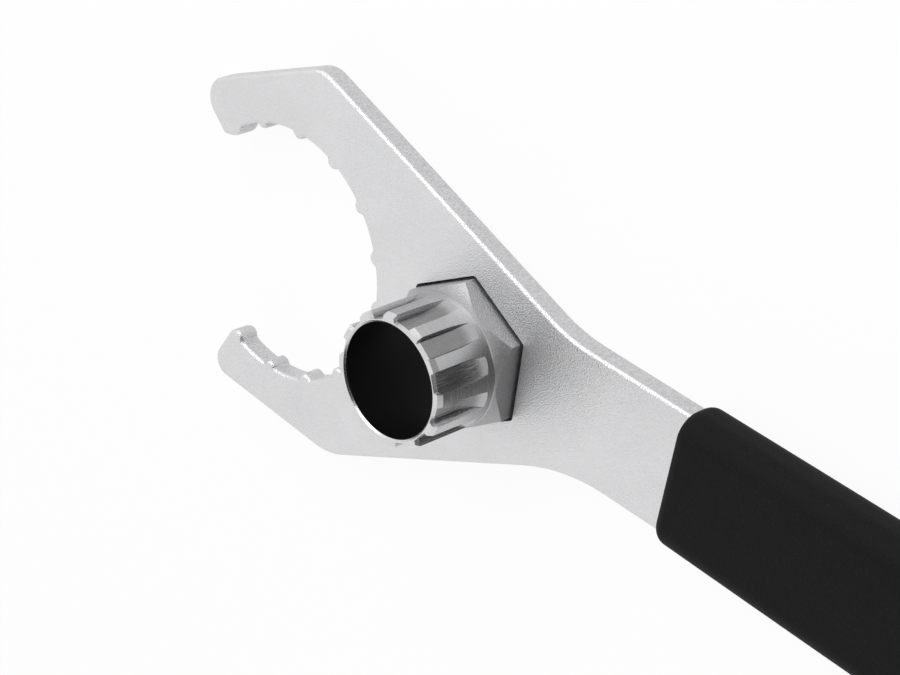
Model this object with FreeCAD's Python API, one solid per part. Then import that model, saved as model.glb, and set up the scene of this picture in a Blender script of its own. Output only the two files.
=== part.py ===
import FreeCAD, Part

import math
import os

V = FreeCAD.Vector

# Frame: millimetres. The origin is on the socket's axis, in the plate's back face.
# +Z runs along the socket to its mouth, +X along the handle to the grip's end.

# Plate
plate_t = 4.0
edge_round = 0.6
back_chamfer = 0.35

# Jaw for a cup with sixteen notches around a 44 mm rim
jaw_x = -42.6
jaw_y = -3.4
cup_notches = 16
floor_r = 22.3
tip_r = 21.3
tooth_nose_r = 1.3
tooth_root_r = 0.7
first_tooth_deg = 1.6
hook_end_deg = 141.0
lower_end_deg = -115.5
hook_tooth_deg = 133.2
hook_nose_r = 3.2

# Outline of the head: each edge by its direction and its distance from the jaw's centre
hook_edge_deg = 27.5
hook_edge_off = 30.4
top_flank_deg = -17.8
top_flank_off = 34.6
low_flank_deg = 27.7
low_flank_off = 35.5
low_edge_deg = -2.9
low_edge_off = 30.1
hook_corner_r = 3.9
top_corner_r = 6.0
low_corner_r = 12.0
low_end_r = 3.0
arm_tip_r = 1.3

# Handle
handle_w = 21.5
handle_y = 2.15
top_blend_r = 28.0
low_blend_r = 36.0
tang_cover = 16.0
tang_end_r = 6.0

# Hexagonal foot of the insert and its hole
hex_af = 22.8
hex_turn_deg = 33.0
hex_stand = 2.05
hex_edge_r = 0.25
hex_gap = 0.5
hole_corner_r = 0.9
rear_flare = 0.8

# Round body of the insert, heights above the plate's front
body_d = 22.5
neck_h = 4.9
sweep_hollow = 0.3
mouth_h = 17.1
bore_d = 19.0
bore_chamfer = 0.35
mouth_chamfer_r = 0.45
mouth_chamfer_l = 0.9

# Grooves around the body
grooves = 12
groove_phase_deg = 25.9
groove_depth = 1.25
groove_straight_l = 5.2
groove_end_r = 14.4
groove_floor_w = 2.9
groove_flank_deg = 22.0

# Grip
grip_front_x = 44.0
grip_l = 140.0
grip_front_w = 24.6
grip_belly_w = 27.8
grip_belly_share = 0.62
grip_belly_r = 600.0
grip_tail_w = 25.4
grip_tail_r = 10.5
grip_t = 10.0
grip_edge_r = 3.4

# How far a cutting shape runs past what it cuts
past = 1.0


def polar(radius, angle_deg, cx=0.0, cy=0.0, z=0.0):
    a = math.radians(angle_deg)
    return V(cx + radius * math.cos(a), cy + radius * math.sin(a), z)


def edge_line(angle_deg, off, side):
    """A straight edge as a point and a direction, off from the jaw's centre to its left or right."""
    d = polar(1.0, angle_deg)
    n = V(-d.y * side, d.x * side, 0)
    return V(jaw_x, jaw_y, 0) + n * off, d


def meet(a, b):
    """The point where two lines, each a point and a direction, cross."""
    (p, d), (q, e) = a, b
    cross = d.x * e.y - d.y * e.x
    s = ((q.x - p.x) * e.y - (q.y - p.y) * e.x) / cross
    return p + d * s


def rounded_wire(corners, z=0.0):
    """A closed wire through corners of (point, radius), each corner an arc tangent to its two sides."""
    turns = []
    for i, (p, r) in enumerate(corners):
        before = (corners[i - 1][0] - p).normalize()
        after = (corners[(i + 1) % len(corners)][0] - p).normalize()
        half = 0.5 * before.getAngle(after)
        reach = r / math.tan(half)
        middle = p + (before + after).normalize() * (r / math.sin(half) - r)
        turns.append((p + before * reach, middle, p + after * reach, r))
    lift = V(0, 0, z)
    edges = []
    for i, (start, middle, end, r) in enumerate(turns):
        if r > 0:
            edges.append(Part.Arc(start + lift, middle + lift, end + lift).toShape())
        follow = turns[(i + 1) % len(turns)][0]
        if end.distanceToPoint(follow) > 1e-6:
            edges.append(Part.LineSegment(end + lift, follow + lift).toShape())
    return Part.Wire(edges)


def prism(wire, height):
    return Part.Face(wire).extrude(V(0, 0, height))


def hexagon(across_flats, corner_r, z):
    circum = across_flats / math.sqrt(3)
    corners = [(polar(circum, hex_turn_deg + 60 * i), corner_r) for i in range(6)]
    return rounded_wire(corners, z)


def upright_edges(shape):
    return [e for e in shape.Edges if len(e.Vertexes) == 2
            and abs(e.tangentAt(e.FirstParameter).z) > 0.999
            and abs(e.tangentAt(e.LastParameter).z) > 0.999]


def rim_edges(shape, z):
    """The edges that lie in the level z."""
    return [e for e in shape.Edges if max(abs(v.Z - z) for v in e.Vertexes) < 1e-6]


def head_outline():
    """The plate's outer outline with both arms closed towards the jaw's centre."""
    centre = V(jaw_x, jaw_y, 0)
    hook_edge = edge_line(hook_edge_deg, hook_edge_off, 1)
    top_flank = edge_line(top_flank_deg, top_flank_off, 1)
    low_flank = edge_line(low_flank_deg, low_flank_off, -1)
    low_edge = edge_line(low_edge_deg, low_edge_off, -1)
    handle_top = (V(0, handle_y + handle_w / 2, 0), V(1, 0, 0))
    handle_low = (V(0, handle_y - handle_w / 2, 0), V(1, 0, 0))
    tang_end = (V(grip_front_x + grip_l - tang_cover, 0, 0), V(0, 1, 0))
    hook_end = (centre, polar(1.0, hook_end_deg))
    lower_end = (centre, polar(1.0, lower_end_deg))
    return rounded_wire([
        (meet(hook_end, hook_edge), hook_corner_r),
        (meet(hook_edge, top_flank), top_corner_r),
        (meet(top_flank, handle_top), top_blend_r),
        (meet(handle_top, tang_end), tang_end_r),
        (meet(tang_end, handle_low), tang_end_r),
        (meet(handle_low, low_flank), low_blend_r),
        (meet(low_flank, low_edge), low_corner_r),
        (meet(low_edge, lower_end), low_end_r),
        (centre, 0.0),
    ])


def jaw_cutter():
    """A disc with one inward nose for each tooth that grips a notch of the cup."""
    height = plate_t + 2 * past
    disc = Part.makeCylinder(floor_r, height, V(jaw_x, jaw_y, -past))
    pitch = 360.0 / cup_notches
    first = math.ceil((lower_end_deg - first_tooth_deg) / pitch)
    last = math.floor((hook_tooth_deg - pitch / 2 - first_tooth_deg) / pitch)
    noses = [(first_tooth_deg + pitch * i, tooth_nose_r) for i in range(first, last + 1)]
    noses.append((hook_tooth_deg, hook_nose_r))
    pegs = []
    for a, r in noses:
        at = polar(tip_r + r, a, jaw_x, jaw_y, -past)
        pegs.append(Part.makeCylinder(r, height, at))
    cutter = disc.cut(Part.makeCompound(pegs))
    return cutter.makeFillet(tooth_root_r, upright_edges(cutter))


def arm_tips(plate):
    """The upright edges where the two arms' ends meet the jaw."""
    centre = V(jaw_x, jaw_y, 0)
    tips = []
    for e in upright_edges(plate):
        at = e.CenterOfMass
        flat = V(at.x, at.y, 0) - centre
        turn = math.degrees(math.atan2(flat.y, flat.x))
        off = min(abs(turn - hook_end_deg), abs(turn - lower_end_deg))
        if flat.Length < floor_r + past and off < 1.0:
            tips.append(e)
    return tips


def wrench_plate():
    plate = prism(head_outline(), plate_t).cut(jaw_cutter())
    plate = plate.makeFillet(arm_tip_r, arm_tips(plate))
    plate = plate.makeFillet(edge_round, rim_edges(plate, plate_t))
    plate = plate.makeChamfer(back_chamfer, rim_edges(plate, 0))
    hole_af = hex_af + 2 * hex_gap
    hole = prism(hexagon(hole_af, hole_corner_r, -past), plate_t + 2 * past)
    return plate.cut(hole).cut(rear_seat(hole_af))


def rear_seat(hole_af):
    """The flared ring at the back that the insert's rear edge fills."""
    wide = hexagon(hole_af + 2 * rear_flare, hole_corner_r + rear_flare, 0)
    narrow = hexagon(hole_af, hole_corner_r, rear_flare)
    return Part.makeLoft([wide, narrow], True, True)


def groove_cutter():
    """One groove as a form cutter mills it: straight from the mouth, then the cutter's own arc out."""
    end_z = plate_t + mouth_h - groove_straight_l
    floor = body_d / 2 - groove_depth
    rim = body_d / 2 + 2 * past
    half_floor = groove_floor_w / 2
    half_rim = half_floor + math.tan(math.radians(groove_flank_deg)) * (rim - floor)
    corners = [(floor, -half_floor), (rim, -half_rim), (rim, half_rim), (floor, half_floor)]
    pts = [V(x, y, end_z) for x, y in corners]
    section = Part.Face(Part.makePolygon(pts + pts[:1]))
    straight = section.extrude(V(0, 0, groove_straight_l + past))
    arc_out = section.revolve(V(floor + groove_end_r, 0, end_z), V(0, -1, 0), 90)
    return straight.fuse(arc_out)


def turned_blank():
    """The insert as turned: a round body that sweeps out in a hollow curve to the hexagon's corners."""
    top_z = plate_t + mouth_h
    corner_r = hex_af / math.sqrt(3)
    outer = body_d / 2
    foot = V(corner_r, 0, plate_t + hex_stand)
    neck = V(outer, 0, plate_t + neck_h)
    chord = neck - foot
    inward = V(-chord.z, 0, chord.x).normalize()
    hollow = foot + chord * 0.5 + inward * sweep_hollow
    low = [V(0, 0, 0), V(corner_r, 0, 0), foot]
    high = [neck, V(outer, 0, top_z - mouth_chamfer_l), V(outer - mouth_chamfer_r, 0, top_z), V(0, 0, top_z)]
    edges = [Part.LineSegment(a, b).toShape() for a, b in zip(low, low[1:])]
    edges.append(Part.Arc(foot, hollow, neck).toShape())
    edges += [Part.LineSegment(a, b).toShape() for a, b in zip(high, high[1:] + low[:1])]
    return Part.Face(Part.Wire(edges)).revolve(V(0, 0, 0), V(0, 0, 1), 360)


def splined_socket():
    top_z = plate_t + mouth_h
    inner = bore_d / 2
    socket = turned_blank().common(prism(hexagon(hex_af, hex_edge_r, 0), top_z))
    cutter = groove_cutter()
    cuts = []
    for i in range(grooves):
        one = cutter.copy()
        one.rotate(V(0, 0, 0), V(0, 0, 1), groove_phase_deg + 360.0 * i / grooves)
        cuts.append(one)
    socket = socket.cut(Part.makeCompound(cuts)).fuse(rear_seat(hex_af + 2 * hex_gap))
    bore = Part.makeCylinder(inner, top_z + 2 * past, V(0, 0, -past))
    mouth = Part.makeCone(inner, inner + bore_chamfer, bore_chamfer, V(0, 0, top_z - bore_chamfer))
    return socket.cut(bore).cut(mouth).removeSplitter()


def handle_grip():
    """The sleeve: a square front, a slight belly and a rounded tail."""
    end_x = grip_front_x + grip_l
    belly_x = grip_front_x + grip_belly_share * grip_l
    half = [(grip_front_x, grip_front_w / 2, 0.0),
            (belly_x, grip_belly_w / 2, grip_belly_r),
            (end_x, grip_tail_w / 2, grip_tail_r)]
    upper = [(V(x, handle_y + w, 0), r) for x, w, r in half]
    lower = [(V(x, handle_y - w, 0), r) for x, w, r in reversed(half)]
    grip = prism(rounded_wire(upper + lower), grip_t)
    front = [e for e in upright_edges(grip) if e.CenterOfMass.x < grip_front_x + past]
    grip = grip.makeFillet(grip_edge_r, front + rim_edges(grip, 0) + rim_edges(grip, grip_t))
    grip.translate(V(0, 0, (plate_t - grip_t) / 2))
    return grip


def main():
    os.makedirs("parts", exist_ok=True)
    plate = wrench_plate()
    socket = splined_socket()
    grip = handle_grip().cut(plate)
    for name, shape in (("wrench_plate", plate), ("splined_socket", socket), ("handle_grip", grip)):
        solid = shape.Solids[0]
        print(name, "solids", len(shape.Solids), "volume", round(solid.Volume, 1), "valid", solid.isValid())
        solid.exportStep("parts/" + name + ".step")


main()
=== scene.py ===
"""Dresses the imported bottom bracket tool: finishes for its plate and socket, a moulded grip and a stage."""

import math

import bpy
import numpy as np
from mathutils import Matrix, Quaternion, Vector


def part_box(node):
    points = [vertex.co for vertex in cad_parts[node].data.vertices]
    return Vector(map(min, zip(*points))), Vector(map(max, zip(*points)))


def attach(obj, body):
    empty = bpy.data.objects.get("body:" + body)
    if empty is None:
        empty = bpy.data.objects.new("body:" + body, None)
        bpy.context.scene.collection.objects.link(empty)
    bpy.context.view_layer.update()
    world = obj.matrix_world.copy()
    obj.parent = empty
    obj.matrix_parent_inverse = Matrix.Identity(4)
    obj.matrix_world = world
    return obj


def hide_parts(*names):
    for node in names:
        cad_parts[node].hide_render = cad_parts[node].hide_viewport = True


bl_info = {
    "name": "Bottom Bracket Tool",
    "version": (1, 0, 0),
    "blender": (4, 5, 0),
    "location": "3D View > Sidebar > Bottom Bracket Tool",
    "description": "Finishes and stage for a notched wrench with a splined socket and a padded handle",
    "category": "Object",
}

MM = 0.001

# Where one finish passes into the next: the first number is where it starts, the second where it is full
CUT_EDGE_DEPTHS = (0.15 * MM, 0.7 * MM)  # below the plate's front face
HEXAGON_HEIGHTS = (5.2 * MM, 4.2 * MM)  # above the plate's front face
HEXAGON_RADII = (11.25 * MM, 11.35 * MM)
BORE_RADII = (9.62 * MM, 9.52 * MM)
GROOVE_RADII = (11.0 * MM, 10.4 * MM)
RIM_DEPTHS = (0.95 * MM, 0.85 * MM)  # below the socket's mouth

# Heights of a pattern, from 0 to 1, between which one tone passes into the other
SPECKLE_RANGE = (0.36, 0.76)
CUT_LINE_RANGE = (0.25, 0.75)
TOOL_MARK_RANGE = (0.15, 0.85)
SPECK_RANGE = (0.45, 0.75)

# Factors on the coordinates of a pattern: one below 1 draws the pattern out along its axis
CUT_LINE_STRETCH = (1.0, 1.0, 0.35)
STREAK_STRETCH = (1.0, 1.0, 0.09)

# Parts of the plate's tone, and how much each pattern adds to the roughness and the height
FINE_SHARE = 0.8
STAIN_SHARE = 0.35
STAIN_SIZE = 9.0 * MM
PLATE_GLOSS_SCATTER = 0.12
CUT_LINE_HEIGHT = 2.0
SOCKET_GLOSS_SCATTER = 0.2
BORE_GLOSS_LOSS = 0.3
STREAK_HEIGHT = 11.0
PIT_HEIGHT = 7.0
RIM_SMOOTHING = 0.9
GRIP_GLOSS_SCATTER = 0.2

# The grip's mesh: steps along each rounding and the sides, and the most of its half height that is round
ARC_STEPS = 12
LENGTH_STEPS = 48
ROUND_SHARE = 0.84
STATION_DIGITS = 9  # stations whose places in metres agree to so many digits are one

# The stage
FLOOR_CELLS = 8
FLOOR_WHITE = 0.93
LAMP_PLACE = (-0.15, 0.75, 0.65)
HORIZON_RISE = (0.08, 0.24)
DARK_BLUR = 0.05
CAMERA_AIM = (-2.1 * MM, -0.1 * MM)
SENSOR_WIDTH = 36.0
PICTURE_WIDTH = 900
PICTURE_SHIFT = (-4.5, 8.8)  # in the picture's pixels
NEAREST_SEEN = 0.01

# The mix node's own numbers for its two colours and its result
MIX_FIRST, MIX_SECOND, MIX_RESULT = 6, 7, 2

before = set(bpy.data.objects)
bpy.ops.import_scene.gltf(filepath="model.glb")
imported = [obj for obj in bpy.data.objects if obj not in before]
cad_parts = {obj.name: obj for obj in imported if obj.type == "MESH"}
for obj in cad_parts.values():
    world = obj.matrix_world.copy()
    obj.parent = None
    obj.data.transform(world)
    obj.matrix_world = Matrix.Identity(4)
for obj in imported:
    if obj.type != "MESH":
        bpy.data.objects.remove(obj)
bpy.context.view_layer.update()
plate_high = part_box("wrench_plate")[1]
socket_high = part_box("splined_socket")[1]
grip_low, grip_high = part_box("handle_grip")


class Value:
    """A shader value. Python's operators on it add Math nodes to its own tree."""

    def __init__(self, shader, socket):
        self.shader = shader
        self.socket = socket

    def maths(self, operation, *values):
        return self.shader.node("ShaderNodeMath", {"operation": operation}, dict(enumerate(values)))

    def __add__(self, other):
        return self.maths("ADD", self, other)

    __radd__ = __add__

    def __sub__(self, other):
        return self.maths("SUBTRACT", self, other)

    def __rsub__(self, other):
        return self.maths("SUBTRACT", other, self)

    def __mul__(self, other):
        return self.maths("MULTIPLY", self, other)

    __rmul__ = __mul__

    def __truediv__(self, other):
        return self.maths("DIVIDE", self, other)

    def __pow__(self, other):
        return self.maths("POWER", self, other)

    def rise(self, low, high):
        """0 below low, 1 above high and a smooth step between them. Low may be the larger number."""
        settings = {"interpolation_type": "SMOOTHSTEP"}
        return self.shader.node("ShaderNodeMapRange", settings, {0: self, 1: low, 2: high, 3: 0.0, 4: 1.0})


class Shader:
    """A node tree under construction, for a material or the world."""

    def __init__(self, tree):
        self.tree = tree
        tree.nodes.clear()

    def node(self, kind, settings, sockets, out=0):
        """Adds one node: its settings first, then the values or links of its sockets."""
        made = self.tree.nodes.new(kind)
        for name, setting in settings.items():
            setattr(made, name, setting)
        for name, value in sockets.items():
            if isinstance(value, Value):
                self.tree.links.new(value.socket, made.inputs[name])
            else:
                made.inputs[name].default_value = value
        return Value(self, made.outputs[out]) if len(made.outputs) else made

    def place(self):
        """Object coordinates in metres."""
        return self.node("ShaderNodeTexCoord", {}, {}, "Object")

    def parts(self, vector):
        """The three numbers of a vector."""
        return [self.node("ShaderNodeSeparateXYZ", {}, {0: vector}, axis) for axis in "XYZ"]

    def noise(self, vector, grain, detail=3.0, roughness=0.6):
        """Noise whose lumps are about one grain across, in metres."""
        sockets = {"Vector": vector, "Scale": 1.0 / grain, "Detail": detail, "Roughness": roughness}
        return self.node("ShaderNodeTexNoise", {}, sockets)

    def pits(self, vector, width):
        """A field of round pits of about that width in metres, 0 at each pit's bottom."""
        return self.node("ShaderNodeTexVoronoi", {}, {"Vector": vector, "Scale": 1.0 / width}, "Distance")

    def stretched(self, vector, factors):
        """The vector with each of its numbers multiplied, to stretch a pattern."""
        return self.node("ShaderNodeVectorMath", {"operation": "MULTIPLY"}, {0: vector, 1: factors})

    def blend(self, factor, first, second):
        """Colour first at factor 0, second at factor 1."""
        settings = {"data_type": "RGBA", "blend_type": "MIX"}
        tones = [tone if isinstance(tone, Value) else (*tone, 1.0) for tone in (first, second)]
        sockets = {0: factor, MIX_FIRST: tones[0], MIX_SECOND: tones[1]}
        return self.node("ShaderNodeMix", settings, sockets, MIX_RESULT)

    def bump(self, height, depth):
        """A normal for a surface that a height of 1 raises by the depth, in metres."""
        return self.node("ShaderNodeBump", {}, {"Height": height, "Distance": depth, "Strength": 1.0})

    def surface(self, sockets):
        """The principled surface itself, joined to the tree's output."""
        made = self.node("ShaderNodeBsdfPrincipled", {}, sockets)
        self.node("ShaderNodeOutputMaterial", {}, {"Surface": made})


def new_material(name):
    material = bpy.data.materials.new(name)
    material.use_nodes = True
    return material, Shader(material.node_tree)


def dress(node_name, material):
    """Gives a CAD node its material."""
    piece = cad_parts[node_name]
    piece.data.materials.clear()
    piece.data.materials.append(material)


def settings_of(context):
    return context.scene.bottom_bracket_tool


def colour(name, description, default):
    return bpy.props.FloatVectorProperty(
        name=name, description=description, subtype="COLOR", size=3, min=0.0, max=1.0, default=default)


def length(name, description, default):
    return bpy.props.FloatProperty(
        name=name, description=description, subtype="DISTANCE", unit="LENGTH", min=0.0, precision=5,
        default=default)


def share(name, description, default):
    return bpy.props.FloatProperty(
        name=name, description=description, subtype="FACTOR", min=0.0, max=1.0, default=default)


def number(name, description, default):
    return bpy.props.FloatProperty(name=name, description=description, min=0.0, default=default)


def angle(name, description, default_deg):
    return bpy.props.FloatProperty(
        name=name, description=description, subtype="ANGLE", unit="ROTATION",
        default=math.radians(default_deg))


class PlateSettings(bpy.types.PropertyGroup):
    """The blasted and plated steel of the wrench plate."""

    light_tone: colour("Light Tone", "Colour of the plating between its pits", (0.735, 0.735, 0.745))
    dark_tone: colour("Dark Tone", "Colour of the plating in its pits", (0.665, 0.665, 0.675))
    edge_tone: colour("Edge Tone", "Colour of the lines that the cut left", (0.52, 0.52, 0.53))
    pit_size: length("Pit Size", "How wide the pits of the blasting are", 0.23 * MM)
    pit_depth: length("Pit Depth", "How deep the pits of the blasting are", 0.062 * MM)
    gloss_loss: share("Roughness", "Roughness of the blasted faces", 0.40)
    edge_gloss_loss: share("Edge Roughness", "Roughness of the cut edge of the plate", 0.5)
    cut_line_size: length("Cut Line Size", "Width of the lines that the cut left across the edge", 0.26 * MM)


class SocketSettings(bpy.types.PropertyGroup):
    """The turned and milled steel of the socket."""

    light_tone: colour("Light Tone", "Colour of the turned faces", (0.50, 0.50, 0.51))
    dark_tone: colour("Dark Tone", "Colour of the tool marks", (0.40, 0.40, 0.405))
    rim_tone: colour("Rim Tone", "Colour of the bright chamfers round the mouth", (0.66, 0.66, 0.67))
    # Painted shade: how far the milled grooves are blended towards black, darker than the crests' steel
    groove_painted_shade: share("Groove Shade", "How much darker the milled grooves are", 0.45)
    streak_size: length("Streak Size", "Width of the streaks along the grooves", 0.35 * MM)
    # Painted shade: the bore's near-black colour stands in for the shade inside the deep bore, not for a
    # blackened finish
    bore_painted_shade: colour("Bore Tone", "Colour of the blackened bore", (0.013, 0.013, 0.0135))
    mark_size: length("Mark Size", "Spacing of the turning marks", 0.16 * MM)
    pit_size: length("Pit Size", "How wide the pits on the hexagon's sides are", 0.23 * MM)
    mark_depth: length("Mark Depth", "Depth of the turning marks", 0.006 * MM)
    gloss_loss: share("Roughness", "Roughness of the turned faces", 0.28)
    hex_gloss_loss: share("Hexagon Roughness", "Roughness of the blasted sides of the hexagon", 0.5)


class GripSettings(bpy.types.PropertyGroup):
    """The moulded grip: its form inside the frame's own box, and its finish."""

    front_setback: length("Front Setback", "How far the front stands behind the frame's own grip", 0.2 * MM)
    front_width: length("Front Width", "Width of the grip's front", 23.7 * MM)
    back_swell: length("Back Swell", "How far the edge on the hook's side swells", 0.3 * MM)
    palm_swell: length("Palm Swell", "How far the edge on the palm's side swells", 1.35 * MM)
    swell_place: share("Swell Place", "Where along the grip it is widest", 0.62)
    edge_round: length("Edge Rounding", "Radius of the rounding along the sides and the tail", 4.2 * MM)
    front_round: length("Front Rounding", "Radius of the rounding round the front", 2.2 * MM)
    tail_round: length("Tail Rounding", "Radius of the tail's corners, seen from above", 10.5 * MM)
    tone: colour("Tone", "Colour of the moulding", (0.0038, 0.0038, 0.0040))
    worn_tone: colour("Worn Tone", "Colour of the highest specks of the texture", (0.0085, 0.0085, 0.0090))
    speck_size: length("Speck Size", "Width of the texture's specks", 0.45 * MM)
    speck_depth: length("Speck Depth", "Height of the texture's specks", 0.05 * MM)
    gloss_loss: share("Roughness", "Roughness of the moulding", 0.7)
    gloss: share("Gloss", "Strength of the moulding's reflection", 0.15)


class StageSettings(bpy.types.PropertyGroup):
    """Floor, light and camera."""

    floor_tone: colour("Floor Tone", "Colour of the floor", (0.90, 0.90, 0.90))
    floor_reach: length("Floor Reach", "Distance from the floor's middle to its edge", 3.0)
    bright_side: number("Bright Side", "Brightness of the studio's white walls", 1.0)
    dark_side: number("Dark Side", "Brightness of the unlit side of the studio", 0.03)
    dark_bearing: angle("Dark Bearing", "Direction of the unlit side round the socket, from the handle", 17.0)
    dark_spread: angle("Dark Spread", "Half the width of the unlit side, as an angle round the socket", 66.0)
    side_power: number("Side Power", "Power of the soft lamp beside the hooked arm, in watts", 5.0)
    side_size: length("Side Size", "Width of the soft lamp beside the hooked arm", 0.7)
    camera_distance: length("Camera Distance", "Distance from the camera to its point of aim", 437.9 * MM)
    camera_bearing: angle("Camera Bearing", "Direction of the camera round the socket, from the handle", 42.6)
    camera_height: angle("Camera Height", "Angle of the camera above the plate's plane", 41.88)
    camera_roll: angle("Camera Roll", "Turn of the camera about its own line of sight", -110.92)
    camera_lens: number("Camera Lens", "Focal length in millimetres, on a sensor 36 mm wide", 109.8)


class ToolSettings(bpy.types.PropertyGroup):
    """All settings of the tool's finishes and stage."""

    plate: bpy.props.PointerProperty(name="Plate", description="Finish of the plate", type=PlateSettings)
    socket: bpy.props.PointerProperty(name="Socket", description="Finish of the socket", type=SocketSettings)
    grip: bpy.props.PointerProperty(name="Grip", description="Finish of the grip", type=GripSettings)
    stage: bpy.props.PointerProperty(name="Stage", description="Floor, light and camera", type=StageSettings)


class TOOL_OT_plate(bpy.types.Operator):
    """Give the wrench plate its blasted, plated steel"""

    bl_idname = "bottom_bracket_tool.plate"
    bl_label = "Finish Plate"

    def execute(self, context):
        s = settings_of(context).plate
        material, shader = new_material("Blasted plated steel")
        place = shader.place()
        z = shader.parts(place)[2]
        edge = z.rise(*(plate_high.z - depth for depth in CUT_EDGE_DEPTHS))
        fine = shader.noise(place, s.pit_size)
        pits = shader.pits(place, s.pit_size)
        stain = shader.noise(place, STAIN_SIZE, detail=2.0, roughness=0.5)
        speckle = (fine * FINE_SHARE + stain * STAIN_SHARE).rise(*SPECKLE_RANGE)
        across = shader.stretched(place, CUT_LINE_STRETCH)
        cut = shader.noise(across, s.cut_line_size, roughness=0.7)
        tone = shader.blend(speckle, tuple(s.dark_tone), tuple(s.light_tone))
        tone = shader.blend(edge * cut.rise(*CUT_LINE_RANGE), tone, tuple(s.edge_tone))
        gloss_loss = (s.gloss_loss + edge * (s.edge_gloss_loss - s.gloss_loss)
                      + (fine - 0.5) * PLATE_GLOSS_SCATTER)
        height = pits + cut * edge * CUT_LINE_HEIGHT
        shader.surface({
            "Base Color": tone,
            "Metallic": 1.0,
            "Roughness": gloss_loss,
            "Normal": shader.bump(height, s.pit_depth),
        })
        dress("wrench_plate", material)
        return {"FINISHED"}


class TOOL_OT_socket(bpy.types.Operator):
    """Give the socket its turned and milled steel"""

    bl_idname = "bottom_bracket_tool.socket"
    bl_label = "Finish Socket"

    def execute(self, context):
        s = settings_of(context).socket
        material, shader = new_material("Turned and milled steel")
        place = shader.place()
        x, y, z = shader.parts(place)
        radius = (x * x + y * y) ** 0.5
        rings = shader.node("ShaderNodeCombineXYZ", {}, {0: radius, 1: 0.0, 2: z})
        turned = shader.noise(rings, s.mark_size, detail=2.0)
        blast = shader.pits(place, s.pit_size)
        foot = z.rise(*(plate_high.z + height for height in HEXAGON_HEIGHTS)) * radius.rise(*HEXAGON_RADII)
        inside = radius.rise(*BORE_RADII)
        groove = radius.rise(*GROOVE_RADII) * (1.0 - inside)
        along = shader.stretched(place, STREAK_STRETCH)
        streaks = shader.noise(along, s.streak_size)
        turned = turned + groove * (streaks - turned)
        marks = turned + foot * (blast - turned)
        steel = shader.blend(marks.rise(*TOOL_MARK_RANGE), tuple(s.dark_tone), tuple(s.light_tone))
        # Painted shade: the milled grooves are blended towards black, darker than the crests' steel
        steel = shader.blend(groove * s.groove_painted_shade, steel, (0.0, 0.0, 0.0))
        rim = z.rise(*(socket_high.z - depth for depth in RIM_DEPTHS)) * (1.0 - inside)
        steel = shader.blend(rim, steel, tuple(s.rim_tone))
        gloss_loss = (s.gloss_loss + foot * (s.hex_gloss_loss - s.gloss_loss)
                      + (marks - 0.5) * SOCKET_GLOSS_SCATTER + inside * BORE_GLOSS_LOSS)
        height = marks * (1.0 + groove * STREAK_HEIGHT + foot * PIT_HEIGHT) * (1.0 - rim * RIM_SMOOTHING)
        shader.surface({
            # Painted shade: the bore is given a near-black colour for the shade inside it
            "Base Color": shader.blend(inside, steel, tuple(s.bore_painted_shade)),
            "Metallic": 1.0,
            "Roughness": gloss_loss,
            "Normal": shader.bump(height, s.mark_depth),
        })
        dress("splined_socket", material)
        return {"FINISHED"}


def inset(distance, radius):
    """How far an edge stands in near an end.

    It is the radius minus the root of radius squared minus missing squared, where missing is the radius minus
    the distance from the end, and 0 once the distance is more than the radius."""
    missing = np.clip(radius - distance, 0.0, radius)
    return radius - np.sqrt(radius ** 2 - missing ** 2)


def grip_surface(s):
    """A rounded bar along X: every station is a rectangle with rounded corners.

    The half width at a share of the length is half the front's width plus the swell times the sine of a
    quarter turn times share / swell place. Both half sizes shrink by the inset at the two ends, and each
    corner is an arc."""
    front, tail = grip_low.x + s.front_setback, grip_high.x
    bend = np.linspace(0.0, math.pi / 2, ARC_STEPS + 1)
    x = np.unique(np.concatenate([
        front + s.front_round * (1.0 - np.cos(bend)),
        np.linspace(front + s.front_round, tail - s.tail_round, LENGTH_STEPS),
        tail - s.tail_round * (1.0 - np.cos(bend)),
        tail - s.edge_round * (1.0 - np.cos(bend))]).round(STATION_DIGITS))[:, None]
    swell = np.sin((x - front) / (tail - front) * math.pi / (2.0 * s.swell_place))
    drawn_in = inset(x - front, s.front_round) + inset(tail - x, s.tail_round)
    back = s.front_width / 2 + s.back_swell * swell - drawn_in
    palm = s.front_width / 2 + s.palm_swell * swell - drawn_in
    drawn_down = inset(x - front, s.front_round) + inset(tail - x, s.edge_round)
    half_height = (grip_high.z - grip_low.z) / 2 - drawn_down
    corner = np.minimum(s.edge_round, half_height * ROUND_SHARE)

    turn = np.concatenate([quarter * math.pi / 2 + bend for quarter in range(4)])[None, :]
    side = np.repeat([1.0, -1.0, -1.0, 1.0], len(bend))[None, :]
    level = np.repeat([1.0, 1.0, -1.0, -1.0], len(bend))[None, :]
    half_width = np.where(side > 0, back, palm)
    y = (grip_low.y + grip_high.y) / 2 + side * (half_width - corner) + corner * np.cos(turn)
    z = (grip_low.z + grip_high.z) / 2 + level * (half_height - corner) + corner * np.sin(turn)
    points = np.stack([np.broadcast_to(x, y.shape), y, z], axis=-1)

    stations, around = y.shape
    row, column = np.meshgrid(np.arange(stations - 1), np.arange(around), indexing="ij")
    here, beside = row * around + column, row * around + (column + 1) % around
    walls = np.stack([here, beside, beside + around, here + around], axis=-1).reshape(-1, 4)
    ends = [list(range(around))[::-1], list(range((stations - 1) * around, stations * around))]
    mesh = bpy.data.meshes.new("moulded_grip")
    mesh.from_pydata(points.reshape(-1, 3).tolist(), [], walls.tolist() + ends)
    mesh.polygons.foreach_set("use_smooth", [True] * len(walls) + [False, False])
    grip = bpy.data.objects.new("moulded_grip", mesh)
    bpy.context.scene.collection.objects.link(grip)
    return grip


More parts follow.
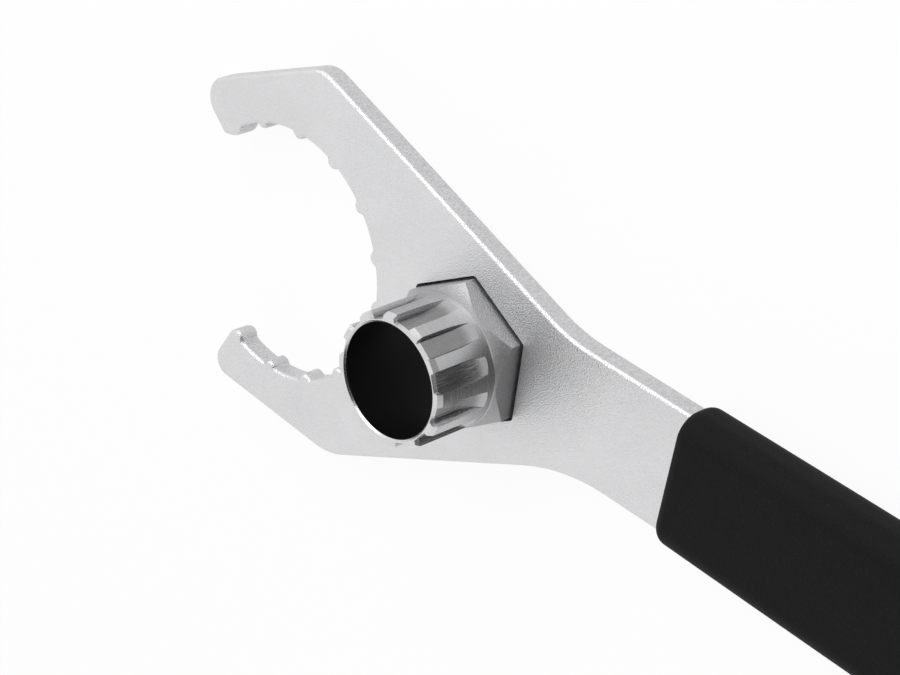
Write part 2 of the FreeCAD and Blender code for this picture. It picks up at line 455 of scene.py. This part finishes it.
class TOOL_OT_grip(bpy.types.Operator):
    """Mould the grip over the tang and give it its fine texture"""

    bl_idname = "bottom_bracket_tool.grip"
    bl_label = "Mould Grip"

    def execute(self, context):
        s = settings_of(context).grip
        material, shader = new_material("Black textured moulding")
        specks = shader.noise(shader.place(), s.speck_size)
        shader.surface({
            "Base Color": shader.blend(specks.rise(*SPECK_RANGE), tuple(s.tone), tuple(s.worn_tone)),
            "Roughness": s.gloss_loss + (specks - 0.5) * GRIP_GLOSS_SCATTER,
            "Specular IOR Level": s.gloss,
            "Normal": shader.bump(specks, s.speck_depth),
        })
        grip = grip_surface(s)
        grip.data.materials.append(material)
        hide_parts("handle_grip")
        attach(grip, "root")
        return {"FINISHED"}


def floor_surface(reach, level):
    """A flat square sheet: its point (u, v), each from -1 to 1, lies at (u, v) times reach, at the level."""
    across = FLOOR_CELLS + 1
    u, v = np.meshgrid(np.linspace(-1.0, 1.0, across), np.linspace(-1.0, 1.0, across))
    points = np.stack([u * reach, v * reach, np.full_like(u, level)], axis=-1).reshape(-1, 3)
    row, column = np.meshgrid(np.arange(FLOOR_CELLS), np.arange(FLOOR_CELLS), indexing="ij")
    first = (row * across + column).ravel()
    faces = np.stack([first, first + 1, first + across + 1, first + across], axis=-1)
    mesh = bpy.data.meshes.new("studio_floor")
    mesh.from_pydata(points.tolist(), [], faces.tolist())
    floor = bpy.data.objects.new("studio_floor", mesh)
    bpy.context.scene.collection.objects.link(floor)
    return floor


def pointing(bearing, height):
    """The unit vector at a bearing round the socket from +X and a height above the floor."""
    level = math.cos(height)
    return Vector((level * math.cos(bearing), level * math.sin(bearing), math.sin(height)))


def white_for_rays(shader, shown):
    """1 for rays from the camera, from glossy faces and through clear ones, times the share that is shown."""
    rays = [shader.node("ShaderNodeLightPath", {}, {}, kind)
            for kind in ("Is Camera Ray", "Is Glossy Ray", "Is Transmission Ray")]
    return rays[0].maths("MAXIMUM", rays[0], rays[1].maths("MAXIMUM", rays[1], rays[2])) * shown


def lamp(name, power, size, place, target):
    """A square lamp at a place, facing the target."""
    data = bpy.data.lights.new(name, "AREA")
    data.energy = power
    data.size = size
    made = bpy.data.objects.new(name, data)
    made.location = place
    made.rotation_mode = "QUATERNION"
    made.rotation_quaternion = (Vector(target) - Vector(place)).to_track_quat("-Z", "Y")
    bpy.context.scene.collection.objects.link(made)


class TOOL_OT_stage(bpy.types.Operator):
    """Build the floor, the lamp, the world's light and the camera"""

    bl_idname = "bottom_bracket_tool.stage"
    bl_label = "Build Stage"

    def execute(self, context):
        s = settings_of(context).stage
        scene = context.scene
        scene.view_settings.view_transform = "Standard"

        floor = floor_surface(s.floor_reach, grip_low.z)
        material, shader = new_material("White studio floor")
        matte = shader.node("ShaderNodeBsdfDiffuse", {}, {"Color": (*s.floor_tone, 1.0)})
        white = shader.node("ShaderNodeEmission", {}, {"Color": (1.0, 1.0, 1.0, 1.0), "Strength": 1.0})
        shown = white_for_rays(shader, FLOOR_WHITE)
        mixed = shader.node("ShaderNodeMixShader", {}, {0: shown, 1: matte, 2: white})
        shader.node("ShaderNodeOutputMaterial", {}, {"Surface": mixed})
        floor.data.materials.append(material)

        world = bpy.data.worlds.new("Studio light")
        world.use_nodes = True
        scene.world = world
        sky = Shader(world.node_tree)
        towards = sky.node("ShaderNodeTexCoord", {}, {}, "Generated")
        x, y, height = sky.parts(towards)
        unlit = pointing(s.dark_bearing, 0.0)
        nearness = (x * unlit.x + y * unlit.y) / (x * x + y * y) ** 0.5
        side = math.cos(s.dark_spread)
        patch = nearness.rise(side - DARK_BLUR, side + DARK_BLUR) * height.rise(*HORIZON_RISE)
        level = s.bright_side + patch * (s.dark_side - s.bright_side)
        light = sky.node("ShaderNodeBackground", {}, {"Color": (1.0, 1.0, 1.0, 1.0), "Strength": level})
        sky.node("ShaderNodeOutputWorld", {}, {"Surface": light})

        lamp("side_lamp", s.side_power, s.side_size, LAMP_PLACE, (0.0, 0.0, plate_high.z))

        back = pointing(s.camera_bearing, s.camera_height)
        data = bpy.data.cameras.new("studio_camera")
        data.lens = s.camera_lens
        data.sensor_width = SENSOR_WIDTH
        data.shift_x, data.shift_y = (pixels / PICTURE_WIDTH for pixels in PICTURE_SHIFT)
        data.clip_start = NEAREST_SEEN
        camera = bpy.data.objects.new("studio_camera", data)
        camera.location = Vector((*CAMERA_AIM, plate_high.z)) + back * s.camera_distance
        camera.rotation_mode = "QUATERNION"
        camera.rotation_quaternion = (-back).to_track_quat("-Z", "Y") @ Quaternion((0, 0, 1), s.camera_roll)
        scene.collection.objects.link(camera)
        scene.camera = camera
        return {"FINISHED"}


STEPS = (TOOL_OT_stage, TOOL_OT_plate, TOOL_OT_socket, TOOL_OT_grip)


class TOOL_PT_panel(bpy.types.Panel):
    """The tool's steps and settings"""

    bl_label = "Bottom Bracket Tool"
    bl_idname = "TOOL_PT_panel"
    bl_space_type = "VIEW_3D"
    bl_region_type = "UI"
    bl_category = "Bottom Bracket Tool"

    def draw(self, context):
        for step, part in zip(STEPS, ("stage", "plate", "socket", "grip")):
            box = self.layout.box()
            group = getattr(settings_of(context), part)
            for name in group.__annotations__:
                box.prop(group, name)
            box.operator(step.bl_idname)


CLASSES = (PlateSettings, SocketSettings, GripSettings, StageSettings, ToolSettings, *STEPS, TOOL_PT_panel)


def register():
    for cls in CLASSES:
        bpy.utils.register_class(cls)
    bpy.types.Scene.bottom_bracket_tool = bpy.props.PointerProperty(
        name="Bottom Bracket Tool", description="Finishes and stage of the tool", type=ToolSettings)


def unregister():
    del bpy.types.Scene.bottom_bracket_tool
    for cls in reversed(CLASSES):
        bpy.utils.unregister_class(cls)


def main():
    register()
    for step in STEPS:
        group, name = step.bl_idname.split(".")
        getattr(getattr(bpy.ops, group), name)()


if __name__ == "__main__":
    main()
